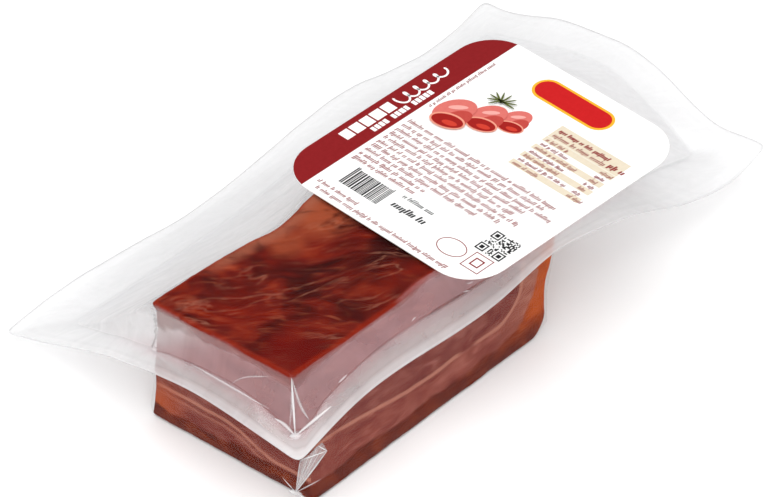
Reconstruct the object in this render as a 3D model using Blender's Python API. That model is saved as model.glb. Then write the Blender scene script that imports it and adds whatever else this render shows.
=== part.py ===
"""Vacuum packed block of smoked bacon with a paper label on its top film.

Two solids: the shut pack (the block with the clear film drawn over it and the sealed rim
around it) and the stiff label on top. Sizes are in millimetres, measured in plan from the
label's centre and in height from the table; the solids are built in metres.
"""
import bmesh
import bpy
import numpy as np

MM = 0.001

# Label: its size, and the gap and height at which it lies on the film.
LABEL_LENGTH = 82.4
LABEL_WIDTH = 71.8
LABEL_CORNER_RADIUS = 12.0
LABEL_THICKNESS = 0.3
LABEL_GAP = 0.3
LABEL_CORNER_STEPS = 10

# Block: corners of its foot and of its top, in plan, as far left, front left, front right
# and far right. The right end leans out, so its top corners stand over the foot's.
BLOCK_HEIGHT = 40.0
BLOCK_FOOT = ((-98.5, 25.2), (-93.3, -29.8), (-3.4, -26.8), (-3.4, 24.8))
BLOCK_HEAD = ((-98.3, 23.2), (-93.6, -23.3), (8.0, -21.5), (8.0, 23.5))
SHOULDER_HEIGHTS = (16.0, 18.5, 23.0, 19.0)
WAIST_HEIGHT = 12.0
WAIST_INSET = 1.0
# Rounding of the foot: height, inset all round, extra inset of the rounder right end.
FOOT_ROUNDING = ((3.2, 0.0, 0.0), (0.9, 0.4, 3.2), (0.0, 1.6, 7.5))

# Film: bed that the label lies on, and how far a wide span of film sags.
BED_HEIGHT = 42.4
BED_RISE_START = -58.0
BED_RISE_END = -43.0
BED_RIGHT_EDGE = 36.0
FILM_STEPS = (0.25, 0.5, 0.75)
FILM_SAG = 0.055
FILM_TIGHT_SPAN = 15.0
RIM_THICKNESS = 0.5
TOP_INNER_RINGS = (0.35, 0.7)

# Every outline runs down the left side, along the front, up the right and along the back.
SIDE_POINTS = (24, 44, 24, 44)

# Edge of the flat top: the block's top edges, then the bed under the label.
TOP_EDGE = (
    (BLOCK_HEAD[0], BLOCK_HEAD[1]),
    (BLOCK_HEAD[1], (-60, -22.2), (3, -21.5), (BED_RIGHT_EDGE, -10)),
    ((BED_RIGHT_EDGE, -10), (BED_RIGHT_EDGE, 26)),
    ((BED_RIGHT_EDGE, 26), (-30, 26), (-53, 19.8), (-72, 22), BLOCK_HEAD[0]),
)

# Line where the two films part, (x, y, height), at the inner edge of the sealed rim.
RIM_INNER = (
    ((-91.5, 62.5, 5), (-96.5, 38, 18), (-98.6, 14, 27), (-96.6, -12, 28), (-94.5, -25, 21.8)),
    ((-94.5, -25, 21.8), (-81, -26.3, 29.8), (-20, -25.3, 31.2), (4, -25, 32.2),
     (30, -18.5, 24), (70.5, -13, 10)),
    ((70.5, -13, 10), (72.5, 22, 19.3), (69, 64, 10.5)),
    ((69, 64, 10.5), (52, 64, 6.5), (20, 64, 10.5), (-30, 63.3, 4.8), (-91.5, 62.5, 5)),
)

# Free edge of the sealed rim: it stands up beside the block and hangs at the far corners.
RIM_OUTER = (
    ((-105, 74, 3), (-102.5, 35, 16.5), (-101.5, 8, 22), (-101, -20, 22), (-99, -31, 19)),
    ((-99, -31, 19), (-81, -30.6, 24.8), (-26, -29.6, 25.4), (-1, -29.4, 29.2),
     (22.5, -29.1, 24.5), (69, -28.6, 10.6), (82, -28.5, 14.5)),
    ((82, -28.5, 14.5), (82, -13, 12.4), (83.7, 25, 19.3), (82.1, 46.5, 17.2),
     (80.4, 69, 10), (80, 75.5, 10)),
    ((80, 75.5, 10), (61, 75.3, 4.8), (24, 75, 10), (-33, 74.6, 3.2), (-88, 74.2, 5.3),
     (-105, 74, 3)),
)


def curve_through(marks, count):
    """Points along a smooth curve through the marks, without the last mark itself."""
    marks = np.array(marks, float)
    run = np.r_[0.0, np.cumsum(np.linalg.norm(np.diff(marks[:, :2], axis=0), axis=1))]
    slope = np.gradient(marks, run, axis=0)
    place = np.linspace(0.0, run[-1], count, endpoint=False)
    k = np.searchsorted(run, place, side="right") - 1
    step = (run[k + 1] - run[k])[:, None]
    t = (place - run[k])[:, None] / step
    start = marks[k] * (1.0 + 2.0 * t) + slope[k] * step * t
    end = marks[k + 1] * (3.0 - 2.0 * t) - slope[k + 1] * step * (1.0 - t)
    return start * (1.0 - t) ** 2 + end * t ** 2


def outline(sides, rounding):
    """Closed loop along the four sides, its corners eased by repeated averaging."""
    loop = np.concatenate([curve_through(s, count) for s, count in zip(sides, SIDE_POINTS)])
    for _ in range(rounding):
        loop = 0.25 * np.roll(loop, 1, axis=0) + 0.5 * loop + 0.25 * np.roll(loop, -1, axis=0)
    return loop


def on_bed(plan):
    """Plan points lifted to the flat top, which rises where it goes under the label."""
    rise = np.clip((plan[:, 0] - BED_RISE_START) / (BED_RISE_END - BED_RISE_START), 0.0, 1.0)
    rise = rise * rise * (3.0 - 2.0 * rise)
    return np.column_stack([plan[:, :2], BLOCK_HEIGHT + (BED_HEIGHT - BLOCK_HEIGHT) * rise])


def block_outline(heights, inset, end_inset):
    """Outline of the block's side at four corner heights, moved in from its faces."""
    foot, head = np.array(BLOCK_FOOT), np.array(BLOCK_HEAD)
    heights = np.broadcast_to(heights, 4).astype(float)
    corners = foot + (head - foot) * (heights / BLOCK_HEIGHT)[:, None]
    corners += np.array([(1, -1), (1, 1), (-1, 1), (-1, -1)]) * inset
    corners[2:, 0] -= end_inset
    corners = np.column_stack([corners, heights])
    return outline([(corners[k], corners[(k + 1) % 4]) for k in range(4)], 1)


def new_object(name, build_mesh, colour, roughness):
    mesh = bpy.data.meshes.new(name)
    bm = bmesh.new()
    build_mesh(bm)
    bmesh.ops.recalc_face_normals(bm, faces=bm.faces)
    bm.to_mesh(mesh)
    bm.free()
    obj = bpy.data.objects.new(name, mesh)
    bpy.context.scene.collection.objects.link(obj)
    material = bpy.data.materials.new(name)
    material.use_nodes = True
    shader = material.node_tree.nodes["Principled BSDF"]
    shader.inputs["Base Color"].default_value = (*colour, 1.0)
    shader.inputs["Roughness"].default_value = roughness
    mesh.materials.append(material)
    return obj


def pack_rings():
    """Outlines from the middle of the top, out to the rim and back under to the foot."""
    top_edge = on_bed(outline(TOP_EDGE, 1))
    rim_inner = outline(RIM_INNER, 2)
    rim_outer = outline(RIM_OUTER, 1)
    middle = top_edge[:, :2].mean(axis=0)
    rings = [on_bed(middle + (top_edge[:, :2] - middle) * scale) for scale in TOP_INNER_RINGS]
    rings.append(top_edge)

    span = np.linalg.norm(rim_inner - top_edge, axis=1)
    sag = FILM_SAG * np.maximum(span - FILM_TIGHT_SPAN, 0.0)
    for step in FILM_STEPS:
        film = top_edge + (rim_inner - top_edge) * step
        film[:, 2] -= 4.0 * step * (1.0 - step) * sag
        rings.append(film)

    along = np.roll(rim_outer, -1, axis=0) - np.roll(rim_outer, 1, axis=0)
    rim_up = np.cross(rim_outer - rim_inner, along)
    rim_up /= np.linalg.norm(rim_up, axis=1, keepdims=True)
    rim_up[rim_up[:, 2] < 0] *= -1.0
    rings += [rim_inner, rim_outer]
    rings += [rim_outer - RIM_THICKNESS * rim_up, rim_inner - RIM_THICKNESS * rim_up]

    rings.append(block_outline(SHOULDER_HEIGHTS, 0.0, 0.0))
    rings.append(block_outline(WAIST_HEIGHT, WAIST_INSET, 0.0))
    rings += [block_outline(*rounding) for rounding in FOOT_ROUNDING]
    return middle, rings


def pack_mesh(bm):
    middle, rings = pack_rings()
    centre = bm.verts.new(on_bed(middle[None])[0] * MM)
    loops = [[bm.verts.new(point * MM) for point in ring] for ring in rings]
    count = len(loops[0])
    for k in range(count):
        j = (k + 1) % count
        bm.faces.new((centre, loops[0][k], loops[0][j]))
        for inner, outer in zip(loops[:-1], loops[1:]):
            bm.faces.new((inner[k], outer[k], outer[j]))
            bm.faces.new((inner[k], outer[j], inner[j]))
    bm.faces.new(loops[-1])


def label_mesh(bm):
    """Flat sheet with round corners, lying on the film's bed."""
    low = BED_HEIGHT + LABEL_GAP
    quarter = np.linspace(0.0, np.pi / 2.0, LABEL_CORNER_STEPS + 1)
    plan = []
    for turn, (side_x, side_y) in enumerate(((1, 1), (-1, 1), (-1, -1), (1, -1))):
        centre_x = side_x * (LABEL_LENGTH / 2.0 - LABEL_CORNER_RADIUS)
        centre_y = side_y * (LABEL_WIDTH / 2.0 - LABEL_CORNER_RADIUS)
        for angle in quarter + turn * np.pi / 2.0:
            plan.append((centre_x + LABEL_CORNER_RADIUS * np.cos(angle),
                         centre_y + LABEL_CORNER_RADIUS * np.sin(angle)))
    under = [bm.verts.new((x * MM, y * MM, low * MM)) for x, y in plan]
    over = [bm.verts.new((x * MM, y * MM, (low + LABEL_THICKNESS) * MM)) for x, y in plan]
    bm.faces.new(under)
    bm.faces.new(over)
    for k in range(len(plan)):
        j = (k + 1) % len(plan)
        bm.faces.new((under[k], under[j], over[j], over[k]))


for old in list(bpy.data.objects):
    bpy.data.objects.remove(old)

pack = new_object("sealed_pack", pack_mesh, (0.62, 0.42, 0.42), 0.25)
label = new_object("label", label_mesh, (0.9, 0.88, 0.86), 0.5)

# The origin is the middle of the whole part's box in plan, on the table.
points = np.array([vertex.co for obj in (pack, label) for vertex in obj.data.vertices])
low, high = points.min(axis=0), points.max(axis=0)
origin = np.array([(low[0] + high[0]) / 2.0, (low[1] + high[1]) / 2.0, low[2]])
for obj in (pack, label):
    for vertex in obj.data.vertices:
        vertex.co = np.array(vertex.co) - origin
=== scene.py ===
"""Block of smoked bacon, vacuum packed in clear film with a paper label, on a white table.

Lengths are in millimetres, in plan from the middle of the label and in height from the
table, until a mesh is made from them in metres.
"""

import bmesh
import bpy
import numpy as np
from mathutils import Matrix, Vector, noise


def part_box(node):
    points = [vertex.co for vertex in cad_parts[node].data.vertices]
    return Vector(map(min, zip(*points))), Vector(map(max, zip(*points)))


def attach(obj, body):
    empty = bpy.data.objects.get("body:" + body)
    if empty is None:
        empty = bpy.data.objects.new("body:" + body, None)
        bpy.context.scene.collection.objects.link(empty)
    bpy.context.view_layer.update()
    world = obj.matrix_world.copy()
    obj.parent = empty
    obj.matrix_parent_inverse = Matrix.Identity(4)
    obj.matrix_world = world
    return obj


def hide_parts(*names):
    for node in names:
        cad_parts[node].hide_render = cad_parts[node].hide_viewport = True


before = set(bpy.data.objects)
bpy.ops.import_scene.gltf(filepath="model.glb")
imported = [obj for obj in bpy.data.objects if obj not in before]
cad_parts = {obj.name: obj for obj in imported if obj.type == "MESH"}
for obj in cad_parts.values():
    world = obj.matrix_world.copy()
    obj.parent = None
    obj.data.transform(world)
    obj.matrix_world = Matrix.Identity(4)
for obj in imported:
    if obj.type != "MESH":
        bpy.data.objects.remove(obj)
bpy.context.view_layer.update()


# ---- Bacon block ------------------------------------------------------------------------
# A block cut from a smoked pork belly: dark lean meat on top, a layer of fat and the browned
# rind below it and round the right end. Its left, front and back faces are knife cuts.
MM = 0.001
label_low, label_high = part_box("label")
LABEL_MIDDLE = (label_low + label_high) / 2.0

BLOCK_HEIGHT = 40.0
BLOCK_FOOT = ((-98.5, 25.2), (-93.3, -29.8), (-3.4, -26.8), (-3.4, 24.8))
BLOCK_HEAD = ((-98.3, 23.2), (-93.6, -23.3), (8.0, -21.5), (8.0, 23.5))
MEAT_INSET = 0.1
MEAT_LENGTH, MEAT_WIDTH = 98.0, 50.0
MEAT_CELLS = (170, 84, 64)
EDGE_RADIUS = 1.0
END_RADIUS = 6.5
WAIST_HEIGHT, WAIST_SPREAD, WAIST_INSET = 12.0, 7.0, 0.8
LUMP_SIZE, LUMP_HEIGHT = 12.0, 0.55
BACK_EDGE_DIP, BACK_EDGE_DIP_X, BACK_EDGE_DIP_REACH = 2.6, -54.0, 11.0
MEAT_RISE, MEAT_RISE_X, MEAT_RISE_REACH = 1.6, -50.0, 8.0
TOP_EASE = 0.35
FOOT_CLEARANCE = 0.35


def smooth_step(x, low, high):
    t = np.clip((x - low) / (high - low), 0.0, 1.0)
    return t * t * (3.0 - 2.0 * t)


def bump_noise(points, size, seed=0.0):
    """Smooth noise of about one unit either way, one value for each point."""
    shift = Vector((seed, -2.3 * seed, 1.7 * seed))
    return np.array([noise.noise(Vector(p) / size + shift) for p in points])


def in_metres(points):
    points = np.asarray(points, float) * MM
    return points + np.array((LABEL_MIDDLE.x, LABEL_MIDDLE.y, 0.0))


def new_piece(name, points, faces, material, smooth=True, floats=None):
    """A mesh piece on the pack, with its float attributes and its faces turned outwards."""
    mesh = bpy.data.meshes.new(name)
    mesh.from_pydata(in_metres(points).tolist(), [], [list(map(int, f)) for f in faces])
    bm = bmesh.new()
    bm.from_mesh(mesh)
    bmesh.ops.recalc_face_normals(bm, faces=bm.faces)
    bm.to_mesh(mesh)
    bm.free()
    for attribute, values in (floats or {}).items():
        layer = mesh.attributes.new(attribute, "FLOAT", "POINT")
        layer.data.foreach_set("value", np.asarray(values, np.float32))
    mesh.materials.append(material)
    if smooth:
        mesh.shade_smooth()
    piece = bpy.data.objects.new(name, mesh)
    bpy.context.scene.collection.objects.link(piece)
    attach(piece, "root")
    return piece


def box_lattice(cells):
    """Surface points of a divided unit box, and the quads between them."""
    size = np.array(cells) + 1
    grid = np.stack(np.meshgrid(*[np.arange(n) for n in size], indexing="ij"), axis=-1)
    on_skin = ((grid == 0) | (grid == np.array(cells))).any(axis=-1)
    number = np.full(size, -1)
    number[on_skin] = np.arange(on_skin.sum())
    quads = []
    for axis in range(3):
        for side in (0, cells[axis]):
            sheet = np.take(number, side, axis=axis)
            quads.append(np.stack([sheet[:-1, :-1], sheet[1:, :-1], sheet[1:, 1:],
                                   sheet[:-1, 1:]], axis=-1).reshape(-1, 4))
    return grid[on_skin] / np.array(cells, float), np.concatenate(quads)


def block_point(across, along, height):
    """Place in the leaning block for shares along its length, its width and its height."""
    foot, head = np.array(BLOCK_FOOT), np.array(BLOCK_HEAD)
    lift = (height / BLOCK_HEIGHT)[:, None]
    corner = [foot[k] + (head[k] - foot[k]) * lift for k in range(4)]
    a, b = across[:, None], along[:, None]
    front = corner[1] * (1.0 - a) + corner[2] * a
    back = corner[0] * (1.0 - a) + corner[3] * a
    return front * (1.0 - b) + back * b


def top_relief(plan):
    """How far the smoked top stands above the block's nominal height."""
    flat = np.column_stack([plan, np.zeros(len(plan))])
    relief = LUMP_HEIGHT * bump_noise(flat, LUMP_SIZE, 3.1)
    relief += MEAT_RISE * smooth_step(plan[:, 0], MEAT_RISE_X - MEAT_RISE_REACH,
                                      MEAT_RISE_X + MEAT_RISE_REACH)
    return relief - TOP_EASE


cells, meat_faces = box_lattice(MEAT_CELLS)
full = np.array((MEAT_LENGTH, MEAT_WIDTH, BLOCK_HEIGHT))
core = np.clip(cells * full, EDGE_RADIUS, full - EDGE_RADIUS)
away = cells * full - core
reach = np.linalg.norm(away, axis=1, keepdims=True)
edged = core + away / np.maximum(reach, 1e-9) * np.minimum(
    np.maximum(np.abs(away).max(axis=1, keepdims=True), 0.0), EDGE_RADIUS)

# The rounded foot of the right end: a square quarter is drawn in to a round one.
past_x = edged[:, 0] - (MEAT_LENGTH - END_RADIUS)
past_z = END_RADIUS - edged[:, 2]
in_corner = (past_x > 0) & (past_z > 0)
squeeze = np.maximum(past_x, past_z) / np.maximum(np.hypot(past_x, past_z), 1e-9)
edged[in_corner, 0] = (MEAT_LENGTH - END_RADIUS) + (past_x * squeeze)[in_corner]
edged[in_corner, 2] = END_RADIUS - (past_z * squeeze)[in_corner]

height = edged[:, 2].copy()
share_x = edged[:, 0] / MEAT_LENGTH
share_y = edged[:, 1] / MEAT_WIDTH
plan = block_point(share_x, share_y, height)
waist = WAIST_INSET * np.exp(-((height - WAIST_HEIGHT) / WAIST_SPREAD) ** 2)
inward = np.stack([np.where(share < 0.5, 1.0, -1.0) * smooth_step(np.abs(share - 0.5), 0.4, 0.5)
                   for share in (share_x, share_y)], axis=1)
plan += inward * (MEAT_INSET + waist)[:, None]
near_top = smooth_step(height, 20.0, 40.0)
dip = BACK_EDGE_DIP * np.exp(-((plan[:, 0] - BACK_EDGE_DIP_X) / BACK_EDGE_DIP_REACH) ** 2)
plan[:, 1] -= dip * near_top * smooth_step(share_y, 0.6, 1.0)
lift = top_relief(plan) * smooth_step(height, 25.0, 40.0)
meat = np.column_stack([plan, height + lift])
meat[:, 2] = np.maximum(meat[:, 2], FOOT_CLEARANCE)

# The far left corner is eased in below its top edge.
CORNER_EASE = (0.8, -0.8)
upper_corner = smooth_step(share_y - share_x, 0.9, 1.0) * smooth_step(height, 16.0, 24.0)
upper_corner *= smooth_step(-height, -39.5, -37.0)
meat[:, :2] += np.array(CORNER_EASE) * upper_corner[:, None]

# Uneven faces: soft swells from the knife, short fibres on the smoked top.
ripple = 0.28 * bump_noise(meat, 9.0, 7.7) + 0.12 * bump_noise(meat, 3.2, 1.3)
meat[:, :2] += inward * np.minimum(ripple, 0.12)[:, None] * -1.0
FIBRE_TURN, FIBRE_DRAW = np.radians(-46.0), 3.4
fibre = np.column_stack([
    meat[:, 0] * np.cos(FIBRE_TURN) + meat[:, 1] * np.sin(FIBRE_TURN),
    (meat[:, 1] * np.cos(FIBRE_TURN) - meat[:, 0] * np.sin(FIBRE_TURN)) * FIBRE_DRAW,
    meat[:, 2]])
on_top = smooth_step(height, 38.0, 39.6)
meat[:, 2] += on_top * (0.16 * bump_noise(fibre, 7.0, 5.0) + 0.08 * bump_noise(fibre, 2.6, 9.0))

# How deep each point lies below the rind, which runs under the block and up its right end.
RIND_END_SHARE = 0.86
RIND_CORNER = 18.0
SEAM_HEIGHT, SEAM_RISE = 11.0, 4.0
LEFT_SEAM_HEIGHT, LEFT_SEAM_DROP = 11.5, 5.0
from_end = (MEAT_LENGTH - share_x * MEAT_LENGTH) * RIND_END_SHARE
deep = np.minimum(from_end, height)
round_corner = (from_end < RIND_CORNER) & (height < RIND_CORNER)
bend = RIND_CORNER - np.hypot(RIND_CORNER - from_end, RIND_CORNER - height)
deep = np.where(round_corner, bend, deep)
is_left = smooth_step(1.0 - share_x, 0.985, 1.0) * smooth_step(height, 0.3, 1.5)
seam_left = height - LEFT_SEAM_HEIGHT + LEFT_SEAM_DROP * smooth_step(-meat[:, 1], -2.0, 19.0)
seam_front = deep - (SEAM_HEIGHT + SEAM_RISE * smooth_step(-meat[:, 0], 45.0, 90.0))
seam = np.where(is_left > 0.5, seam_left, seam_front)


class Nodes:
    """Short way to lay out one material's nodes."""

    def __init__(self, name):
        self.material = bpy.data.materials.new(name)
        self.material.use_nodes = True
        self.tree = self.material.node_tree
        self.tree.nodes.clear()
        self.out = self.add("OutputMaterial")
        self.place = self.add("TexCoord").outputs["Object"]

    def add(self, kind, **inputs):
        node = self.tree.nodes.new("ShaderNode" + kind)
        for key, value in inputs.items():
            self.set(node, key.replace("_", " "), value)
        return node

    def set(self, node, key, value):
        socket = node.inputs[key]
        if isinstance(value, bpy.types.NodeSocket):
            self.tree.links.new(value, socket)
        elif isinstance(value, tuple) and len(value) == 3 and len(socket.default_value) == 4:
            socket.default_value = (*value, 1.0)
        else:
            socket.default_value = value

    def field(self, name):
        node = self.add("Attribute")
        node.attribute_name = name
        return node.outputs["Fac"]

    def maths(self, operation, a, b=0.0, c=0.0):
        node = self.add("Math")
        node.operation = operation
        for socket, value in zip(node.inputs, (a, b, c)):
            if isinstance(value, bpy.types.NodeSocket):
                self.tree.links.new(value, socket)
            else:
                socket.default_value = value
        return node.outputs[0]

    def step(self, value, low, high, to_low=0.0, to_high=1.0):
        node = self.add("MapRange", Value=value, From_Min=low, From_Max=high, To_Min=to_low,
                        To_Max=to_high)
        node.interpolation_type = "SMOOTHSTEP"
        return node.outputs["Result"]

    def noise(self, scale, detail=3.0, place=None, rough=0.5, warp=0.0):
        node = self.add("TexNoise", Vector=place or self.place, Scale=scale, Detail=detail,
                        Roughness=rough, Distortion=warp)
        return node.outputs["Fac"]

    def bent(self, scale, amount):
        """Object coordinates pushed about by a broad noise, so that lines wander."""
        push = self.add("TexNoise", Vector=self.place, Scale=scale, Detail=2.0)
        centred = self.add("VectorMath")
        centred.operation = "SUBTRACT"
        self.tree.links.new(push.outputs["Color"], centred.inputs[0])
        centred.inputs[1].default_value = (0.5, 0.5, 0.5)
        moved = self.add("VectorMath")
        moved.operation = "MULTIPLY_ADD"
        self.tree.links.new(centred.outputs[0], moved.inputs[0])
        moved.inputs[1].default_value = (amount, amount, amount)
        self.tree.links.new(self.place, moved.inputs[2])
        return moved.outputs[0]

    def stretched(self, turn, shares, place=None):
        """Coordinates turned about Z and stretched, for fibres and streaks."""
        spin = self.add("Mapping", Vector=place or self.place)
        spin.inputs["Rotation"].default_value = (0.0, 0.0, np.radians(turn))
        stretch = self.add("Mapping", Vector=spin.outputs[0])
        stretch.inputs["Scale"].default_value = shares
        return stretch.outputs[0]

    def blend(self, share, a, b):
        node = self.add("Mix")
        node.data_type = "RGBA"
        for key, value in (("Factor", share), ("A", a), ("B", b)):
            socket = [s for s in node.inputs if s.name == key and s.enabled][0]
            if isinstance(value, bpy.types.NodeSocket):
                self.tree.links.new(value, socket)
            else:
                socket.default_value = (*linear(value), 1.0) if isinstance(value, tuple) else value
        return [s for s in node.outputs if s.enabled][0]

    def ramp(self, value, *stops):
        node = self.add("ValToRGB", Fac=value)
        bar = node.color_ramp
        while len(bar.elements) < len(stops):
            bar.elements.new(0.5)
        for element, (where, colour) in zip(bar.elements, stops):
            element.position = where
            element.color = (*linear(colour), 1.0)
        return node.outputs["Color"]

    def bumped(self, height, distance, strength=1.0):
        node = self.add("Bump", Height=height, Distance=distance, Strength=strength)
        return node.outputs["Normal"]

    def finish(self, shader):
        self.tree.links.new(shader, self.out.inputs["Surface"])
        return self.material


def linear(colour):
    """Linear values of a colour given in 0 to 255 as it shows on a screen."""
    shown = np.array(colour, float) / 255.0
    return tuple(np.where(shown <= 0.04045, shown / 12.92, ((shown + 0.055) / 1.055) ** 2.4))


def bacon_material():
    n = Nodes("smoked_bacon")
    deep_in, seam_at = n.field("deep"), n.field("seam")
    top, left = n.field("smoked_top"), n.field("left_face")

    # Smoked top: dark red lean. Thin pale lines drawn out along the fibres are painted highlights:
    # the glints of the film's fine wrinkles, laid into the meat's colour.
    wander = n.bent(30.0, 0.016)
    along = n.stretched(44.0, (1.0, 1.9, 1.0), wander)
    blotch = n.noise(64.0, 9.0, along, 0.66, 0.7)
    smoked = n.ramp(blotch, (0.34, (44, 4, 3)), (0.44, (72, 10, 6)), (0.52, (94, 17, 9)),
                    (0.60, (118, 30, 13)), (0.68, (142, 52, 28)), (0.76, (164, 80, 52)))
    fibre_lines = n.noise(150.0, 8.0, n.stretched(44.0, (1.0, 4.0, 1.0), wander), 0.7, 0.4)
    smoked = n.blend(n.maths("MULTIPLY", n.step(fibre_lines, 0.5, 0.72), 0.5), smoked, (166, 84, 56))
    smoked = n.blend(n.maths("MULTIPLY", n.step(fibre_lines, 0.46, 0.3), 0.5), smoked, (58, 6, 3))
    red = n.step(n.noise(42.0, 2.0), 0.46, 0.62)
    smoked = n.blend(n.maths("MULTIPLY", red, 0.4), smoked, (112, 16, 4))
    dark = n.maths("MULTIPLY", n.field("dark_patch"), n.step(blotch, 0.75, 0.35))
    smoked = n.blend(n.maths("MULTIPLY", dark, 0.9), smoked, (46, 5, 4))
    tan = n.maths("MULTIPLY", n.field("tan_patch"), n.step(blotch, 0.30, 0.52))
    smoked = n.blend(n.maths("MULTIPLY", tan, 0.75), smoked, (162, 78, 48))
    band = n.maths("MULTIPLY", n.field("back_band"), n.step(blotch, 0.25, 0.6))
    smoked = n.blend(n.maths("MULTIPLY", band, 0.8), smoked, (156, 90, 68))
    corner = n.field("red_corner")
    smoked = n.blend(n.maths("MULTIPLY", corner, 0.85), smoked, (98, 7, 2))
    # Painted highlights for the glints of the film's fine wrinkles: thin pale web-like lines in three
    # sizes, broken into patches.
    painted_wrinkle_glints = None
    for scale, lines, width, turned in ((17.0, 3.2, 0.05, 40.0), (26.0, 3.0, 0.06, 55.0),
                                        (40.0, 3.4, 0.08, 28.0)):
        sheet = n.noise(scale, 7.0, n.stretched(turned, (1.0, 4.5, 1.0), wander), 0.6, 0.0)
        fold = n.maths("PINGPONG", n.maths("MULTIPLY", sheet, lines), 0.5)
        broken = n.step(n.noise(scale * 2.0), 0.36, 0.62)
        patchy = n.maths("MULTIPLY", n.step(fold, width, 0.0), broken)
        painted_wrinkle_glints = patchy if painted_wrinkle_glints is None else n.maths("MAXIMUM", painted_wrinkle_glints, patchy)
    faint = n.maths("SUBTRACT", 0.32, n.maths("MULTIPLY", corner, 0.27))
    # The pale colour of the painted wrinkle highlights, weaker at the red corner.
    smoked = n.blend(n.maths("MULTIPLY", painted_wrinkle_glints, faint), smoked, (190, 124, 98))
    smoked = n.blend(n.maths("MULTIPLY", n.field("top_rim"), 0.6), smoked, (140, 34, 10))

    # Cut faces: rind, fat, a thin pale seam and lean, by depth below the rind.
    wobble = n.maths("MULTIPLY", n.maths("SUBTRACT", n.noise(110.0, 5.0), 0.5), 5.0)
    grain = n.noise(120.0, 5.0, n.stretched(0.0, (1.0, 1.0, 2.6)), 0.6, 1.0)
    lean_colour = n.ramp(grain, (0.32, (102, 38, 32)), (0.5, (120, 56, 48)), (0.68, (142, 82, 72)))
    fat_pale = n.ramp(grain, (0.32, (140, 76, 62)), (0.52, (154, 92, 76)), (0.7, (168, 108, 90)))
    fat_pink = n.ramp(grain, (0.32, (112, 46, 38)), (0.52, (130, 64, 54)), (0.7, (150, 86, 74)))
    fat_colour = n.blend(n.field("rind_gold"), fat_pink, fat_pale)
    rind_mark = n.noise(150.0, 5.0, n.stretched(0.0, (1.0, 1.0, 1.8)), 0.6, 0.6)
    rind_dark = n.ramp(rind_mark, (0.3, (72, 18, 9)), (0.52, (98, 32, 15)), (0.72, (128, 56, 32)))
    rind_gold = n.ramp(rind_mark, (0.3, (144, 52, 12)), (0.7, (184, 82, 26)))
    rind_colour = n.blend(n.field("rind_gold"), rind_dark, rind_gold)
    fat_share = n.maths("MULTIPLY", n.step(n.maths("ADD", seam_at, n.maths("MULTIPLY", wobble, 0.2)),
                                           0.4, -0.4), n.maths("SUBTRACT", 1.0, left))
    cut = n.blend(fat_share, lean_colour, fat_colour)
    on_seam = n.maths("ABSOLUTE", n.maths("ADD", seam_at, n.maths("MULTIPLY", wobble, 0.2)))
    seam_share = n.maths("MULTIPLY", n.step(on_seam, 0.95, 0.15), n.step(n.noise(70.0), 0.25, 0.5))
    cut = n.blend(n.maths("MULTIPLY", seam_share, 0.75), cut, (180, 120, 100))
    below_seam = n.maths("ADD", seam_at, 2.2)
    second = n.maths("ABSOLUTE", n.maths("ADD", below_seam, n.maths("MULTIPLY", wobble, 0.3)))
    second_share = n.maths("MULTIPLY", n.step(second, 0.8, 0.1), left)
    cut = n.blend(n.maths("MULTIPLY", second_share, 0.45), cut, (172, 112, 94))
    cut = n.blend(n.maths("MULTIPLY", n.field("gold_corner"), 0.8), cut, (168, 74, 32))
    rind_share = n.step(n.maths("ADD", deep_in, wobble), 5.6, 4.4)
    cut = n.blend(rind_share, cut, rind_colour)

    colour = n.blend(top, cut, smoked)
    relief = n.maths("ADD", n.maths("MULTIPLY", blotch, top), n.maths("MULTIPLY", grain, 0.4))
    shine = n.step(n.noise(60.0, 3.0), 0.3, 0.7, 0.35, 0.55)
    shader = n.add("BsdfPrincipled", Base_Color=colour, Roughness=shine,
                   Normal=n.bumped(relief, 0.0006, 0.5))
    shader.inputs["Specular IOR Level"].default_value = 0.02
    shader.inputs["Subsurface Weight"].default_value = 0.12
    shader.inputs["Subsurface Scale"].default_value = 0.002
    return n.finish(shader.outputs[0])


def spot(x, y, radius):
    """Soft round mark on the smoked top."""
    return smooth_step(-np.hypot(meat[:, 0] - x, meat[:, 1] - y), -radius, -radius * 0.3)


top_share = smooth_step(height, 38.4, 39.2)
edge_gap = np.minimum(np.minimum(share_x * MEAT_LENGTH, share_y * MEAT_WIDTH),
                      (1.0 - share_y) * MEAT_WIDTH)
new_piece("bacon_block", meat, meat_faces, bacon_material(), floats={
    "deep": deep, "seam": seam, "smoked_top": top_share, "left_face": is_left,
    "tan_patch": np.clip(spot(-44, 15, 12) + 0.7 * spot(-58, 14, 7), 0, 1),
    "dark_patch": np.clip(spot(-39, -9, 13) + 0.9 * spot(-58, -15, 12) + 0.6 * spot(-64, 4, 9), 0, 1),
    "back_band": smooth_step(edge_gap * -1.0, -6.5, -2.0) * smooth_step(share_y, 0.6, 0.7)
                 * smooth_step(meat[:, 0], -84.0, -70.0),
    "red_corner": spot(-88.0, -18.0, 14.0),
    "top_rim": smooth_step(edge_gap * -1.0, -1.8, -0.4),
    "rind_gold": smooth_step(height, 1.5, 9.0) * smooth_step(share_x, 0.72, 0.97),
    "gold_corner": smooth_step(-share_x, -0.03, 0.0) * smooth_step(share_y, 0.72, 0.97)
                   * smooth_step(-height, -17.0, -6.0)})


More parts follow.
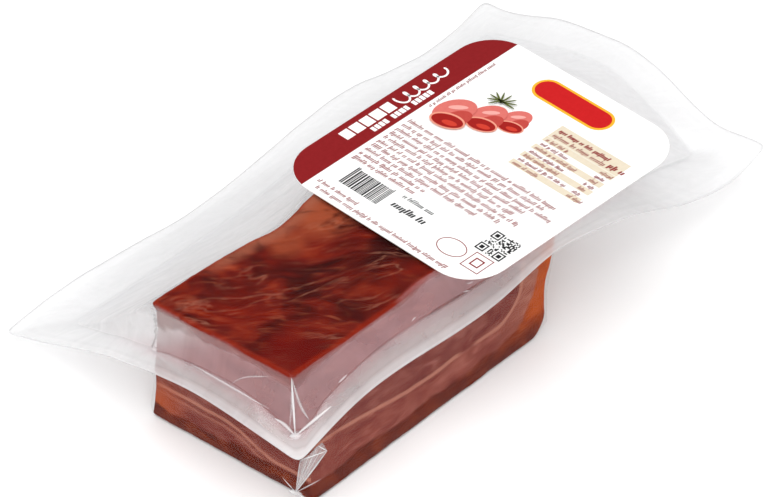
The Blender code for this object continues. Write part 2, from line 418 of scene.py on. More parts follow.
# ---- Film ------------------------------------------------------------------------------
# A bag of two sheets of clear plastic film, sealed together in a rim right round the pack.
# It is clear where it lies tight on the meat and milky where it stands off it.
BED_HEIGHT = 42.4
BED_RISE_START, BED_RISE_END = -58.0, -43.0
BED_RIGHT_EDGE = 36.0
SIDE_POINTS = (92, 168, 92, 168)
FILM_SAG, FILM_TIGHT_SPAN = 0.055, 15.0
FILM_GAP = 0.3
WALL_GAP = 0.5
SHOULDER_HEIGHTS = (16.0, 18.5, 23.0, 19.0)
FOOT_ROUNDING = ((3.2, 0.0, 0.0), (0.9, 0.4, 3.2), (0.05, 1.6, 7.5))
TOP_EDGE = (
    (BLOCK_HEAD[0], BLOCK_HEAD[1]),
    (BLOCK_HEAD[1], (-60, -22.2), (3, -21.5), (BED_RIGHT_EDGE, -10)),
    ((BED_RIGHT_EDGE, -10), (BED_RIGHT_EDGE, 26)),
    ((BED_RIGHT_EDGE, 26), (-30, 26), (-53, 19.8), (-72, 22), BLOCK_HEAD[0]),
)
RIM_INNER = (
    ((-91.5, 62.5, 5), (-96.5, 38, 18), (-98.6, 14, 27), (-96.6, -12, 28), (-94.5, -25, 21.8)),
    ((-94.5, -25, 21.8), (-81, -26.3, 29.8), (-20, -25.3, 31.2), (4, -25, 32.2),
     (30, -18.5, 24), (70.5, -13, 10)),
    ((70.5, -13, 10), (72.5, 22, 19.3), (69, 64, 10.5)),
    ((69, 64, 10.5), (52, 64, 6.5), (20, 64, 10.5), (-30, 63.3, 4.8), (-91.5, 62.5, 5)),
)
RIM_OUTER = (
    ((-105, 74, 3), (-102.5, 35, 16.5), (-101.5, 8, 22), (-101, -20, 22), (-99, -31, 19)),
    ((-99, -31, 19), (-81, -30.6, 24.8), (-26, -29.6, 25.4), (-1, -29.4, 29.2),
     (22.5, -29.1, 24.5), (69, -28.6, 10.6), (82, -28.5, 14.5)),
    ((82, -28.5, 14.5), (82, -13, 12.4), (83.7, 25, 19.3), (82.1, 46.5, 17.2),
     (80.4, 69, 10), (80, 75.5, 10)),
    ((80, 75.5, 10), (61, 75.3, 4.8), (24, 75, 10), (-33, 74.6, 3.2), (-88, 74.2, 5.3),
     (-105, 74, 3)),
)
TOP_RINGS, WALL_RINGS, RIM_RINGS, SKIRT_RINGS, CUP_RINGS, SOLE_RINGS = 44, 36, 14, 14, 6, 12
LOWER_RIM_RINGS = 10
SHEET_GAP = 0.35

# How milky the film is in each place, from 0 for clear to 1 for white.
RIM_HAZE = 0.44
EDGE_HAZE = 0.62
CONTACT_HAZE = 0.0
SIDE_HAZE = 0.34
TENT_HAZE = 0.62
CUP_HAZE = 0.015


def curve_through(marks, count):
    """Points along a smooth curve through the marks, without the last mark itself."""
    marks = np.array(marks, float)
    run = np.r_[0.0, np.cumsum(np.linalg.norm(np.diff(marks[:, :2], axis=0), axis=1))]
    slope = np.gradient(marks, run, axis=0)
    place = np.linspace(0.0, run[-1], count, endpoint=False)
    k = np.searchsorted(run, place, side="right") - 1
    step = (run[k + 1] - run[k])[:, None]
    t = (place - run[k])[:, None] / step
    start = marks[k] * (1.0 + 2.0 * t) + slope[k] * step * t
    end = marks[k + 1] * (3.0 - 2.0 * t) - slope[k + 1] * step * (1.0 - t)
    return start * (1.0 - t) ** 2 + end * t ** 2


def outline(sides, rounding):
    """Closed loop along the four sides, its corners eased by repeated averaging."""
    loop = np.concatenate([curve_through(s, count) for s, count in zip(sides, SIDE_POINTS)])
    for _ in range(rounding):
        loop = 0.25 * np.roll(loop, 1, axis=0) + 0.5 * loop + 0.25 * np.roll(loop, -1, axis=0)
    return loop


def film_top(plan):
    """Plan points lifted to the film over the smoked top, level where the label lies on it."""
    plan = plan[:, :2]
    on_label = smooth_step(plan[:, 0], BED_RISE_START, BED_RISE_END)
    on_meat = BLOCK_HEIGHT + top_relief(plan) + FILM_GAP
    return np.column_stack([plan, on_meat * (1.0 - on_label) + BED_HEIGHT * on_label])


def block_outline(heights, inset, end_inset):
    """Outline of the block's side at four corner heights, moved in from its faces."""
    foot, head = np.array(BLOCK_FOOT), np.array(BLOCK_HEAD)
    heights = np.broadcast_to(heights, 4).astype(float)
    corners = foot + (head - foot) * (heights / BLOCK_HEIGHT)[:, None]
    corners += np.array([(1, -1), (1, 1), (-1, 1), (-1, -1)]) * (inset - FILM_GAP)
    corners[2:, 0] -= end_inset
    corners = np.column_stack([corners, heights])
    return outline([(corners[k], corners[(k + 1) % 4]) for k in range(4)], 4)


def film_material():
    n = Nodes("film")
    streaks = n.noise(60.0, 4.0, n.stretched(20.0, (1.0, 2.2, 1.0)), 0.55, 1.0)
    veil = n.maths("MULTIPLY", n.field("haze"), n.step(streaks, 0.25, 0.75, 0.88, 1.1))
    crinkle = n.noise(260.0, 3.0, None, 0.5, 0.6)
    normal = n.bumped(n.maths("ADD", streaks, n.maths("MULTIPLY", crinkle, 0.08)), 0.001, 0.3)
    clear = n.add("BsdfTransparent")
    clear.inputs["Color"].default_value = (0.985, 0.985, 0.985, 1.0)
    gloss = n.add("BsdfGlossy", Normal=normal)
    gloss.inputs["Roughness"].default_value = 0.16
    facing = n.add("LayerWeight", Normal=normal)
    facing.inputs["Blend"].default_value = 0.5
    grazing = n.maths("POWER", facing.outputs["Facing"], 5.0)
    mirrored = n.maths("MULTIPLY_ADD", grazing, 0.85, 0.045)
    skin = n.add("MixShader", Fac=n.maths("MULTIPLY", mirrored, n.field("sheen")))
    n.tree.links.new(clear.outputs[0], skin.inputs[1])
    n.tree.links.new(gloss.outputs[0], skin.inputs[2])
    # Painted bounce light: the milky film is tinted pink near the block, for red light scattered back
    # onto it from the meat.
    white = n.blend(n.field("meat_bounce_tint"), (247, 247, 248), (238, 202, 208))
    milk = n.add("BsdfPrincipled", Base_Color=white, Normal=normal)
    milk.inputs["Roughness"].default_value = 0.32
    through = n.add("BsdfTranslucent", Color=white)
    body = n.add("MixShader")
    body.inputs["Fac"].default_value = 0.35
    n.tree.links.new(milk.outputs[0], body.inputs[1])
    n.tree.links.new(through.outputs[0], body.inputs[2])
    whole = n.add("MixShader", Fac=veil)
    n.tree.links.new(skin.outputs[0], whole.inputs[1])
    n.tree.links.new(body.outputs[0], whole.inputs[2])
    return n.finish(whole.outputs[0])


def clear_of_block(points, gap):
    """Pushes points that lie in the block, or closer to it than the gap, out to the gap."""
    height = np.clip(points[:, 2], 0.0, BLOCK_HEIGHT)
    foot, head = np.array(BLOCK_FOOT), np.array(BLOCK_HEAD)
    corner = foot + (head - foot) * (height / BLOCK_HEIGHT)[:, None, None]
    side = np.roll(corner, -1, axis=1) - corner
    offset = points[:, None, :2] - corner
    share = np.clip((offset * side).sum(axis=2) / (side ** 2).sum(axis=2), 0.0, 1.0)
    nearest = corner + side * share[:, :, None]
    distance = np.linalg.norm(points[:, None, :2] - nearest, axis=2)
    inside = (side[:, :, 0] * offset[:, :, 1] - side[:, :, 1] * offset[:, :, 0] > 0).all(axis=1)
    k = distance.argmin(axis=1)
    row = np.arange(len(points))
    spot_on_side, near = nearest[row, k], distance[row, k]
    away = (points[:, :2] - spot_on_side) / np.maximum(near, 1e-6)[:, None]
    away[inside] *= -1.0
    back_side = 3
    move = (inside | (near < gap)) & (k != back_side) & (points[:, 2] < BLOCK_HEIGHT + 0.2)
    moved = points.copy()
    moved[move, :2] = (spot_on_side + away * gap)[move]
    return moved


def between(first, last, haze, steps, sag=0.0, clearance=0.0):
    """Rings of (points, haze) from one outline towards the next, without the last itself."""
    made = []
    for share in np.linspace(0.0, 1.0, steps, endpoint=False):
        ring = first + (last - first) * share
        ring[:, 2] -= 4.0 * share * (1.0 - share) * sag
        if clearance:
            ring = clear_of_block(ring, clearance)
        made.append((ring, haze(share, ring)))
    return made


def even(value):
    return lambda share, ring: np.full(len(ring), value)


top_edge = film_top(outline(TOP_EDGE, 4))
rim_inner = clear_of_block(outline(RIM_INNER, 12), WALL_GAP + 0.3)
rim_outer = outline(RIM_OUTER, 4)
span = np.linalg.norm(rim_inner - top_edge, axis=1)
tent = smooth_step(span, 14.0, 40.0)
sag = FILM_SAG * np.maximum(span - FILM_TIGHT_SPAN, 0.0)
middle = top_edge[:, :2].mean(axis=0)
film_rings = [(film_top(middle + (top_edge[:, :2] - middle) * share),
               np.full(len(top_edge), CONTACT_HAZE))
              for share in np.linspace(0.02, 1.0, TOP_RINGS, endpoint=False)]


def wall_haze(share, ring):
    """Clear along the top edge, then milky, with an uneven line between the two."""
    ragged = 0.16 + 0.10 * bump_noise(ring * (1, 1, 0), 7.0, 2.0) + 0.08 * bump_noise(ring, 2.6, 5.0)
    start = smooth_step(share, 0.0, 0.05) * 0.5 + smooth_step(share - ragged, -0.05, 0.08) * 0.5
    drift = 1.0 + 0.16 * bump_noise(ring * (1, 1, 2.5), 14.0, 8.0)
    return (SIDE_HAZE + (TENT_HAZE - SIDE_HAZE) * tent) * start * drift


film_rings += between(top_edge, rim_inner, wall_haze, WALL_RINGS, sag, WALL_GAP)
rim_line = smooth_step(-np.abs(rim_inner[:, 0] + 20.0), -34.0, -22.0) * (rim_inner[:, 1] < 0)


def rim_haze(share, ring):
    """Like the wall beside it on the inside, whiter in the sealed outer part."""
    sealed = np.maximum(smooth_step(share, 0.66, 0.74), tent)
    seam_line = 1.0 - 0.5 * rim_line * (share < 0.08) - 0.3 * np.exp(-((share - 0.68) / 0.03) ** 2)
    level = SIDE_HAZE * 0.8 + (RIM_HAZE - SIDE_HAZE * 0.8) * sealed
    return level * seam_line * (1.0 + 0.12 * bump_noise(ring, 11.0, 3.0))


film_rings += between(rim_inner, rim_outer, rim_haze, RIM_RINGS)
film_rings.append((rim_outer, np.full(len(rim_outer), EDGE_HAZE)))
drop = np.array((0.0, 0.0, SHEET_GAP))
film_rings.append((rim_outer - drop, np.full(len(rim_outer), EDGE_HAZE)))
film_rings += between(rim_outer - drop, rim_inner - drop,
                      lambda share, ring: rim_haze(1.0 - share, ring), LOWER_RIM_RINGS)[1:]
shoulder = block_outline(SHOULDER_HEIGHTS, 0.0, 0.0)
waist_ring = block_outline(WAIST_HEIGHT, WAIST_INSET * 0.8, 0.0)
foot_rings = [block_outline(*rounding) for rounding in FOOT_ROUNDING]


def skirt_haze(share, ring):
    return CUP_HAZE + (TENT_HAZE - CUP_HAZE) * tent * smooth_step(1.0 - share, 0.3, 1.0)


film_rings += between(rim_inner - drop, shoulder, skirt_haze, SKIRT_RINGS)
for first, last in zip([shoulder, waist_ring] + foot_rings[:-1], [waist_ring] + foot_rings):
    film_rings += between(first, last, even(CUP_HAZE), CUP_RINGS)
sole = foot_rings[-1]
sole_middle = sole.mean(axis=0)
film_rings += [(sole_middle + (sole - sole_middle) * share, np.full(len(sole), CUP_HAZE))
               for share in np.linspace(1.0, 0.02, SOLE_RINGS)]

film_points = np.concatenate([ring for ring, _ in film_rings])
film_haze = np.concatenate([haze for _, haze in film_rings])
count = len(top_edge)
edge = np.arange(count)
after = (edge + 1) % count
film_faces = [quad for r in range(len(film_rings) - 1) for quad in np.stack(
    [r * count + edge, (r + 1) * count + edge, (r + 1) * count + after, r * count + after],
    axis=1).tolist()]
film_faces.append(edge.tolist())
film_faces.append(((len(film_rings) - 1) * count + edge).tolist())

# Slack film is wavy: long soft waves on the tents, small ones on the walls and the rim.
wall_end = TOP_RINGS + WALL_RINGS
edge_rings = 2
skirt_start = wall_end + RIM_RINGS + edge_rings + LOWER_RIM_RINGS - 1
slack = np.concatenate([0.12 + 0.88 * tent if TOP_RINGS + 2 <= k <= skirt_start + 1
                        else np.full(count, 0.0) for k in range(len(film_rings))])
wave = 1.1 * bump_noise(film_points, 30.0, 4.4) + 0.45 * bump_noise(film_points, 11.0, 6.1)
film_points[:, 2] += wave * slack
film_points[:, 2] = np.maximum(film_points[:, 2], 0.05)
clear_film = film_material()
ring_number = np.repeat(np.arange(len(film_rings)), count)
# Share of the painted pink bounce light from the meat: near the block on the top and the walls,
# fading out over the first rings of the rim.
meat_bounce_tint = np.tile(1.0 - tent, len(film_rings)) * smooth_step(
    -ring_number, -(wall_end + 8.0), -wall_end)
sheen = 0.2 + 0.8 * smooth_step(ring_number, TOP_RINGS - 2.0, TOP_RINGS + 8.0) * smooth_step(
    -ring_number, -(skirt_start + 7.0), -(skirt_start - 3.0))
film = new_piece("film_bag", film_points, film_faces, clear_film,
                 floats={"haze": film_haze, "meat_bounce_tint": meat_bounce_tint, "sheen": sheen})
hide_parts("sealed_pack")


# ---- Film folds ------------------------------------------------------------------------
# Where the film was gathered at the front corner and along the rim it is creased: narrow
# folds of doubled film, milkier than the sheet that they lie on. Their crests are whitened
# further as painted highlights, and the short dashes on the front wall are painted glints.
CREASE_SIDES = 8


def crease(marks, width, milky, lift=0.25):
    """A low tapered fold along a smooth curve: points, faces and haze, the haze highest along its
    crest as a painted highlight.
    """
    marks = np.array(marks, float)
    line = np.vstack([curve_through(marks, 22), marks[-1:]]) if len(marks) > 2 else (
        marks[0] + (marks[1] - marks[0]) * np.linspace(0, 1, 14)[:, None])
    ahead = np.gradient(line, axis=0)
    ahead /= np.linalg.norm(ahead, axis=1, keepdims=True)
    outward = np.array((-0.54, -0.54, 0.65))
    flat = np.cross(ahead, outward)
    flat /= np.linalg.norm(flat, axis=1, keepdims=True)
    up = np.cross(flat, ahead)
    share = np.linspace(0.0, 1.0, len(line))
    size = np.sin(np.pi * np.clip(share, 0.02, 0.98)) ** 0.7 * width / 2.0
    turn = np.linspace(0.0, 2.0 * np.pi, CREASE_SIDES, endpoint=False)
    points, faces, haze = [], [], []
    for k, centre in enumerate(line):
        for angle in turn:
            points.append(centre + flat[k] * size[k] * np.cos(angle)
                          + up[k] * (size[k] * 0.3 * np.sin(angle) + lift))
            # Whitest along the crest and its underside: milkier doubled film with a painted highlight
            # on it.
            haze.append(milky * (1.0 - abs(np.cos(angle))) ** 0.5)
    for k in range(len(line) - 1):
        for j in range(CREASE_SIDES):
            nxt = (j + 1) % CREASE_SIDES
            faces.append([k * CREASE_SIDES + j, k * CREASE_SIDES + nxt,
                          (k + 1) * CREASE_SIDES + nxt, (k + 1) * CREASE_SIDES + j])
    faces.append(list(range(CREASE_SIDES)))
    faces.append([(len(line) - 1) * CREASE_SIDES + j for j in range(CREASE_SIDES)])
    return np.array(points), faces, haze


def joined(shapes):
    points, faces, haze = [], [], []
    for more, more_faces, more_haze in shapes:
        faces += [[len(points) + k for k in face] for face in more_faces]
        points += list(more)
        haze += list(more_haze)
    return np.array(points), faces, haze


CORNER_TOP = (-93.7, -23.6, 39.6)
STAR = (-94.9, -25.6, 21.9)
folds = [
    crease([CORNER_TOP, STAR], 0.7, 0.85),
    crease([CORNER_TOP, (-92.6, -25.2, 31.0), (-91.0, -26.6, 25.6)], 0.8, 0.3),
    crease([CORNER_TOP, (-94.6, -24.2, 31.0), (-95.6, -24.3, 24.0)], 0.5, 0.2),
    crease([STAR, (-96.2, -23.4, 25.0), (-98.0, -21.4, 27.4)], 1.0, 0.55),
    crease([STAR, (-91.0, -27.0, 24.4), (-84.7, -28.6, 27.4)], 1.0, 0.6),
    crease([(-95.9, -24.6, 21.8), (-93.9, -26.6, 22.0)], 2.2, 0.6),
    crease([(-95.4, -17.5, 37.5), (-98.2, -9.0, 33.0), (-98.4, -6.4, 30.0)], 0.4, 0.25),
    crease([(-97.2, -19.0, 28.3), (-99.0, -6.0, 29.5), (-99.2, 8.0, 28.6)], 0.6, 0.3),
    # Short white dashes on the front wall: painted glints on small creases.
    crease([(-79.4, -25.6, 29.8), (-76.0, -25.4, 30.4)], 0.6, 0.9),
    crease([(-31.0, -24.2, 32.2), (-28.4, -24.2, 31.4)], 0.5, 0.9),
    crease([(-32.6, -24.4, 30.6), (-30.2, -24.4, 29.6)], 0.5, 0.9),
    crease([(-52.0, -24.9, 33.0), (-50.4, -24.9, 33.6)], 0.4, 0.7),
]
fold_points, fold_faces, fold_milk_and_glint = joined(folds)
new_piece("film_folds", fold_points, fold_faces, clear_film,
          floats={"haze": fold_milk_and_glint, "sheen": np.ones(len(fold_milk_and_glint))})


# ---- Corner ear ------------------------------------------------------------------------
# Spare film of the lower sheet, pinched into a small stiff ear under the rim at the front
# corner. Fine folds run together at its tip, their white lines partly painted highlights.
EAR_TIP = (-96.3, -26.6, 4.0)
EAR_HEAD = ((-97.3, -29.6, 17.6), (-95.2, -30.6, 18.6), (-92.4, -31.2, 20.4),
            (-90.4, -31.4, 19.6), (-90.0, -32.0, 17.6))
EAR_THICKNESS = 0.12
EAR_ROWS, EAR_COLUMNS = 14, 26


def ear():
    head = np.vstack([curve_through(EAR_HEAD, EAR_COLUMNS - 1), [EAR_HEAD[-1]]])
    tip = np.array(EAR_TIP)
    pleat = 0.35 * np.sin(np.linspace(0.0, 5.0 * np.pi, EAR_COLUMNS))
    sheets = []
    for side in (0.0, EAR_THICKNESS):
        rows = []
        for share in np.linspace(0.04, 1.0, EAR_ROWS):
            row = tip + (head - tip) * share
            row += np.array((-0.6, -0.75, 0.2)) * (pleat * np.sin(np.pi * share) + side)[:, None]
            rows.append(row)
        sheets.append(np.concatenate(rows))
    faces = []
    size = EAR_ROWS * EAR_COLUMNS
    for r in range(EAR_ROWS - 1):
        for c in range(EAR_COLUMNS - 1):
            quad = [r * EAR_COLUMNS + c, r * EAR_COLUMNS + c + 1,
                    (r + 1) * EAR_COLUMNS + c + 1, (r + 1) * EAR_COLUMNS + c]
            faces += [quad, [size + k for k in quad]]
    border = ([c for c in range(EAR_COLUMNS)]
              + [r * EAR_COLUMNS + EAR_COLUMNS - 1 for r in range(1, EAR_ROWS)]
              + [(EAR_ROWS - 1) * EAR_COLUMNS + c for c in range(EAR_COLUMNS - 2, -1, -1)]
              + [r * EAR_COLUMNS for r in range(EAR_ROWS - 2, 0, -1)])
    for a, b in zip(border, border[1:] + border[:1]):
        faces.append([a, b, size + b, size + a])
    share = np.repeat(np.linspace(0.04, 1.0, EAR_ROWS), EAR_COLUMNS)
    # Whiter lines along the pleats: milkier folded film, partly a painted highlight.
    line = np.tile(np.abs(np.cos(np.linspace(0.0, 5.0 * np.pi, EAR_COLUMNS))) ** 6, EAR_ROWS)
    haze = 0.10 + 0.16 * (1.0 - share) + 0.16 * line
    return np.concatenate(sheets), faces, np.tile(haze, 2)


ear_shapes = [ear()]
# Fine creases from the tip: white lines, partly milky folds and partly painted highlights.
for head_mark in EAR_HEAD + ((-91.4, -30.9, 8.0), (-98.0, -23.6, 8.4)):
    ear_shapes.append(crease([EAR_TIP, head_mark], 0.32, 0.45, 0.1))
ear_shapes.append(crease([EAR_TIP, EAR_HEAD[4]], 0.5, 0.7, 0.1))
ear_shapes.append(crease([EAR_HEAD[0], EAR_HEAD[4]], 0.4, 0.6, 0.1))
ear_shapes.append(crease([EAR_HEAD[2], EAR_HEAD[4]], 0.4, 0.7, 0.1))
ear_shapes.append(crease([EAR_TIP, (-95.0, -29.2, 2.2), (-93.6, -30.6, 0.6)], 0.9, 0.45, 0.1))
ear_shapes.append(crease([(-97.4, -25.2, 4.4), (-95.2, -27.8, 3.4)], 1.6, 0.4, 0.1))
ear_points, ear_faces, ear_milk_and_glint = joined(ear_shapes)
new_piece("corner_ear", ear_points, ear_faces, clear_film,
          floats={"haze": ear_milk_and_glint, "sheen": np.ones(len(ear_milk_and_glint))})


# ---- Label -----------------------------------------------------------------------------
# A label of white coated paper, cut with round corners. It is stuck on the top film, partly
# over the block and partly over the empty part of the bag.
LABEL_LENGTH, LABEL_WIDTH = 82.4, 71.8
LABEL_RADIUS = 12.0
LABEL_TOP = 43.0


def paper_material():
    n = Nodes("label_paper")
    fibre_noise = n.noise(1800.0, 3.0)
    colour = n.ramp(fibre_noise, (0.3, (244, 244, 243)), (0.7, (250, 250, 249)))
    shader = n.add("BsdfPrincipled", Base_Color=colour, Normal=n.bumped(fibre_noise, 0.00002, 0.3))
    shader.inputs["Roughness"].default_value = 0.45
    return n.finish(shader.outputs[0])


label = bpy.data.objects["label"]
label.data.materials.clear()
label.data.materials.append(paper_material())


# ---- Label print -----------------------------------------------------------------------
# Flat ink in a few colours, laid over the paper: a dark red band with light headings, fine
# rows of text strokes that spell nothing, a bar code, a table and a picture of rolled slices.
# Places on the label are (along its length, down from its back edge).
INK_THICKNESS = 0.03
TEXT_SLANT = 0.2
dice = np.random.RandomState(7)


def ink_material(name, colour):
    n = Nodes(name)
    soft = n.noise(900.0, 2.0)
    light = tuple(min(255, c + 5) for c in colour)
    shader = n.add("BsdfPrincipled", Base_Color=n.ramp(soft, (0.3, colour), (0.7, light)))
    shader.inputs["Roughness"].default_value = 0.5
    shader.inputs["Specular IOR Level"].default_value = 0.15
    return n.finish(shader.outputs[0])


def print_piece(name, colour, outlines, level=0, rings=()):
    """One thin slab for each outline, and one for each ring of an outer and an inner outline."""
    low = LABEL_TOP + 0.02 + level * 0.04
    points, faces = [], []

    def layer(loop, height):
        for along, down in loop:
            points.append((along - LABEL_LENGTH / 2.0, LABEL_WIDTH / 2.0 - down, height))

    for loop in outlines:
        start, size = len(points), len(loop)
        layer(loop, low)
        layer(loop, low + INK_THICKNESS)
        faces.append([start + k for k in range(size)])
        faces.append([start + size + k for k in range(size)])
        for k in range(size):
            j = (k + 1) % size
            faces.append([start + k, start + j, start + size + j, start + size + k])
    for outer, inner in rings:
        start, size = len(points), len(outer)
        for loop, height in ((outer, low), (inner, low), (inner, low + INK_THICKNESS),
                             (outer, low + INK_THICKNESS)):
            layer(loop, height)
        for k in range(size):
            j = (k + 1) % size
            for a in range(4):
                b = (a + 1) % 4
                faces.append([start + a * size + k, start + a * size + j,
                              start + b * size + j, start + b * size + k])
    return new_piece(name, points, faces, ink_material(name, colour), smooth=False)


def rectangle(along, down, length, width):
    return [(along, down), (along + length, down), (along + length, down + width),
            (along, down + width)]


def oval(along, down, half_length, half_width, turn=0.0, points=28):
    angle = np.linspace(0.0, 2.0 * np.pi, points, endpoint=False)
    x, y = half_length * np.cos(angle), half_width * np.sin(angle)
    c, s = np.cos(np.radians(turn)), np.sin(np.radians(turn))
    return list(zip(along + x * c - y * s, down + x * s + y * c))


def text_row(along, down, length, tall, upright=False, bold=1.0):
    """Strokes like a row of small print. It runs down the label, or along it if upright."""
    strokes, at = [], 0.0
    while at < length:
        for _ in range(dice.randint(2, 10)):
            high = tall * (1.0 if dice.rand() < 0.3 else 0.68)
            low = -0.28 * tall if dice.rand() < 0.12 else 0.0
            thick = 0.2 * tall * bold
            stroke = [(at, low), (at + thick, low), (at + thick + TEXT_SLANT * high, high),
                      (at + TEXT_SLANT * high, high)]
            strokes.append([(along + a, down - h) if upright else (along + h, down + a)
                            for a, h in stroke])
            at += tall * (0.34 + 0.12 * dice.rand())
        at += tall * 0.42
    return strokes


def letter_blocks(along, down, widths, tall, gap):
    blocks, at = [], along
    for width in widths:
        blocks.append(rectangle(at, down - tall, width, tall))
        at += width + gap
    return blocks


def squiggle(along, down, length, tall, thick):
    """A looping handwritten line."""
    t = np.linspace(0.0, 1.0, 90)
    x = along + length * t - 0.055 * length * np.sin(2.0 * np.pi * t * 5.0)
    y = down - tall * (0.42 + 0.36 * np.cos(2.0 * np.pi * t * 5.0) * (1.0 - 0.35 * t))
    line = np.column_stack([x, y])
    side = np.gradient(line, axis=0)[:, ::-1] * (1, -1)
    side /= np.linalg.norm(side, axis=1, keepdims=True)
    strip = [(line[k] + side[k] * w * thick / 2.0) for w, order in ((1, 1), (-1, -1))
             for k in range(len(line))[::order]]
    pieces = []
    for k in range(len(line) - 1):
        pieces.append([strip[k], strip[k + 1], strip[2 * len(line) - 2 - k],
                       strip[2 * len(line) - 1 - k]])
    return pieces


BAND = 10.0
corner = np.linspace(np.arcsin((LABEL_RADIUS - BAND) / LABEL_RADIUS), np.pi / 2.0, 12)
edge_radius = LABEL_RADIUS - 0.05
left_arc = [(LABEL_RADIUS - edge_radius * np.cos(a), LABEL_RADIUS - edge_radius * np.sin(a))
            for a in corner]
right_arc = [(LABEL_LENGTH - x, y) for x, y in left_arc[::-1]]
body_rows = []
for row, row_length in enumerate((52.0, 50.5, 51.0, 47.0, 44.0, 49.5, 46.0, 40.0, 23.0, 20.0)):
    body_rows += text_row(38.0 - 2.3 * row, 11.6, row_length, 1.5)
address_rows = text_row(4.0, 11.8, 14.0, 1.35) + text_row(1.7, 13.4, 45.0, 1.35)
table_rows = []
for row in range(7):
    table_rows += text_row(57.4 - 2.15 * row, 43.6, dice.uniform(7, 16), 1.25)
    table_rows += text_row(57.4 - 2.15 * row, 63.0, 2.8, 1.25)
headings = text_row(62.4, 43.6, 17.5, 1.5, bold=1.5) + text_row(60.0, 43.6, 14.5, 1.5)
headings += text_row(60.6, 62.6, 4.0, 1.9, bold=1.4)
tiny_line = text_row(46.6, 11.9, 23.5, 1.1, upright=True)
oval_mark = (oval(9.1, 56.0, 3.3, 4.6), oval(9.1, 56.0, 3.05, 4.35))
square_mark = (rectangle(5.7, 62.0, 6.6, 6.2), rectangle(5.95, 62.25, 6.1, 5.7))
small_square = (rectangle(7.4, 63.6, 3.2, 3.0), rectangle(7.8, 64.0, 2.4, 2.2))
print_piece("ink_dark_red", (128, 7, 13), [left_arc + right_arc] + body_rows + address_rows
            + tiny_line, rings=[oval_mark, square_mark, small_square])
print_piece("ink_table_red", (132, 12, 20), table_rows + headings, level=1)
title = letter_blocks(21.6, 5.8, (3.1, 3.3, 3.1, 3.6, 3.2), 3.7, 0.6)
title += squiggle(42.4, 6.4, 18.6, 5.4, 0.6)
for along, widths in ((29.0, (1.1, 1.2, 1.2, 1.2)), (36.6, (1.1, 1.2, 1.5, 1.1)),
                      (44.4, (1.1, 1.2, 1.1, 1.2, 1.3))):
    title += letter_blocks(along, 8.5, widths, 1.9, 0.35)
print_piece("ink_white", (248, 246, 246), title, level=1)

bars, at = [], 16.0
while at < 30.0:
    thick = dice.choice((0.24, 0.24, 0.4, 0.56))
    bars.append(rectangle(7.8, at, 7.2 if 17 < at < 29 else 7.8, thick))
    at += thick + dice.choice((0.2, 0.26, 0.4))

# The square code: random cells, with a square frame round a square in three of its corners.
CODE_CELLS, CODE_SIZE = 21, 8.8
CODE_ALONG, CODE_DOWN = 13.2, 60.0
FRAME_CELLS = 7
cell = CODE_SIZE / CODE_CELLS
far_frame = CODE_CELLS - FRAME_CELLS


def code_square(row, column, size):
    return rectangle(CODE_ALONG + row * cell, CODE_DOWN + column * cell, size * cell, size * cell)


code = []
for row in range(CODE_CELLS):
    for column in range(CODE_CELLS):
        near_row, near_column = row <= FRAME_CELLS, column <= FRAME_CELLS
        in_frame = ((near_row and (near_column or column >= far_frame - 1))
                    or (row >= far_frame - 1 and near_column))
        if not in_frame and dice.rand() < 0.48:
            code.append(code_square(row, column, 1))
code_frames = []
for row, column in ((0, 0), (0, far_frame), (far_frame, 0)):
    code_frames.append((code_square(row, column, FRAME_CELLS),
                        code_square(row + 1, column + 1, FRAME_CELLS - 2)))
    code.append(code_square(row + 2, column + 2, FRAME_CELLS - 4))
weight = text_row(10.2, 32.6, 9.6, 2.2, bold=1.35) + text_row(14.6, 32.6, 8.6, 1.5)
print_piece("ink_black", (24, 24, 26), bars + code + weight, rings=code_frames)

stripes = [rectangle(59.4, 42.6, 5.8, 24.6)]
stripes += [rectangle(57.1 - 4.3 * k, 42.6, 2.15, 24.6) for k in range(4)]
print_piece("ink_beige", (218, 206, 184), stripes)


# The picture: three rolled slices, one behind the other, and a green sprig. Each roll is laid
# down as its body, its shaded underside, a highlight, the fat round its mouth and the lean.
SLICES = ((56.0, 32.6, 0.85), (51.6, 26.4, 1.0), (46.6, 18.8, 1.12))
LEVELS_PER_ROLL = 4
ROLL_PARTS = (("body", (208, 106, 98), (2.8, -0.9), (5.6, 4.0), 24),
              ("shade", (182, 64, 56), (0.9, 1.6), (4.0, 2.6), 18),
              ("shine", (230, 160, 152), (4.2, -1.0), (2.4, 0.8), 50),
              ("fat", (226, 146, 124), (-1.2, 0.5), (2.8, 4.6), -16),
              ("lean", (150, 12, 6), (-1.3, 0.6), (2.3, 4.1), -16),
              ("glint", (196, 52, 34), (-1.6, 1.6), (0.9, 2.0), -16))
for number, (along, down, size) in enumerate(SLICES):
    for depth, (part, colour, (aside, below), (long, wide), tilt) in enumerate(ROLL_PARTS):
        shape = oval(along + aside * size, down + below * size, long * size, wide * size, tilt)
        print_piece("ink_roll_%s_%d" % (part, number + 1), colour, [shape],
                    level=LEVELS_PER_ROLL * number + depth)
needles = [oval(61.0 + 1.3 * np.cos(a), 24.5 + 2.2 * np.sin(a), 2.4, 0.28, np.degrees(a))
           for a in np.linspace(-2.6, 1.6, 9)]
print_piece("ink_green", (84, 92, 40), needles, level=14)


def capsule(along, down, half_length, radius, points=14):
    """A straight round-ended shape that runs down the label."""
    angle = np.linspace(0.0, np.pi, points)
    lower = [(along + radius * np.cos(a), down + half_length + radius * np.sin(a)) for a in angle]
    upper = [(along - radius * np.cos(a), down - half_length - radius * np.sin(a)) for a in angle]
    return lower + upper


print_piece("ink_amber", (240, 172, 40), [capsule(73.6, 38.6, 9.2, 4.4)])
print_piece("ink_red", (190, 10, 14), [capsule(73.6, 38.6, 9.2, 3.6)], level=1)


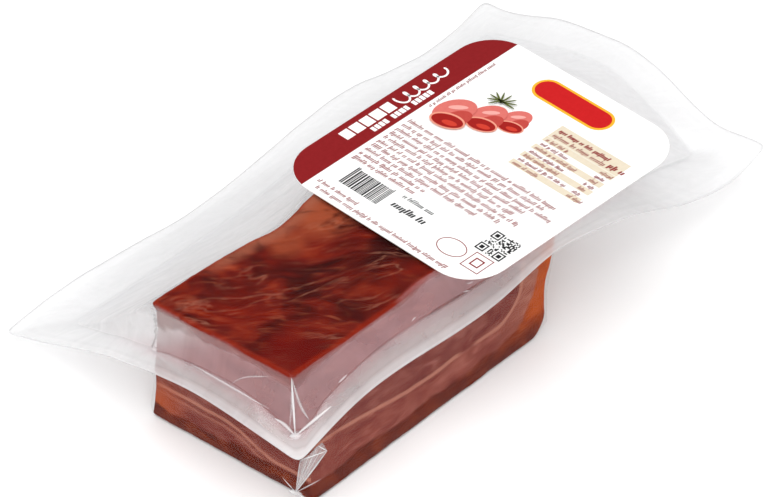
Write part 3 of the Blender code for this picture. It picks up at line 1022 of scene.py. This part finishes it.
# ---- Table, lamps and camera -------------------------------------------------------------
# A plain white table, lit softly from all round, with broad lamps above and at the front left.
# The camera looks down on the corner where the block's left end meets its long front face.
def table_material():
    n = Nodes("white_table")
    colour = n.ramp(n.noise(30.0), (0.3, (250, 250, 250)), (0.7, (252, 252, 252)))
    shader = n.add("BsdfPrincipled", Base_Color=colour)
    shader.inputs["Roughness"].default_value = 0.6
    return n.finish(shader.outputs[0])


table = bpy.data.meshes.new("table")
table.from_pydata([(-3, -3, 0), (3, -3, 0), (3, 3, 0), (-3, 3, 0)], [], [(0, 1, 2, 3)])
table.materials.append(table_material())
table_top = bpy.data.objects.new("table", table)
bpy.context.scene.collection.objects.link(table_top)
table_top.location.z = -0.0002


def soft_lamp(name, place, size, power):
    lamp = bpy.data.lights.new(name, "AREA")
    lamp.shape = "DISK"
    lamp.size = size
    lamp.energy = power
    holder = bpy.data.objects.new(name, lamp)
    holder.location = place
    holder.rotation_euler = (-Vector(place)).to_track_quat("-Z", "Y").to_euler()
    bpy.context.scene.collection.objects.link(holder)


soft_lamp("top_lamp", (-0.25, -0.15, 1.6), 1.8, 16.0)
soft_lamp("front_lamp", (-1.1, -1.2, 0.9), 1.2, 11.0)
world = bpy.data.worlds.new("studio")
world.use_nodes = True
world.node_tree.nodes["Background"].inputs["Color"].default_value = (1.0, 1.0, 1.0, 1.0)
world.node_tree.nodes["Background"].inputs["Strength"].default_value = 0.68
bpy.context.scene.world = world

CAMERA_TURN, CAMERA_RISE, CAMERA_ROLL = -44.87, 40.21, -0.856
CAMERA_DISTANCE = 1.4271
CAMERA_LENS, CAMERA_SENSOR = 252.5, 36.0
CAMERA_AIM = (-25.2, 11.2, 20.0)
turn, rise = np.radians(CAMERA_TURN), np.radians(CAMERA_RISE)
aim = Vector(in_metres([CAMERA_AIM])[0])
back = Vector((np.sin(turn) * np.cos(rise), -np.cos(turn) * np.cos(rise), np.sin(rise)))
lens = bpy.data.cameras.new("camera")
lens.lens = CAMERA_LENS
lens.sensor_width = CAMERA_SENSOR
lens.clip_start = 0.05
camera = bpy.data.objects.new("camera", lens)
bpy.context.scene.collection.objects.link(camera)
facing = (-back).to_track_quat("-Z", "Y").to_matrix().to_4x4()
camera.matrix_world = (Matrix.Translation(aim + back * CAMERA_DISTANCE) @ facing
                       @ Matrix.Rotation(np.radians(CAMERA_ROLL), 4, "Z"))
bpy.context.scene.camera = camera
bpy.context.scene.view_settings.view_transform = "Standard"
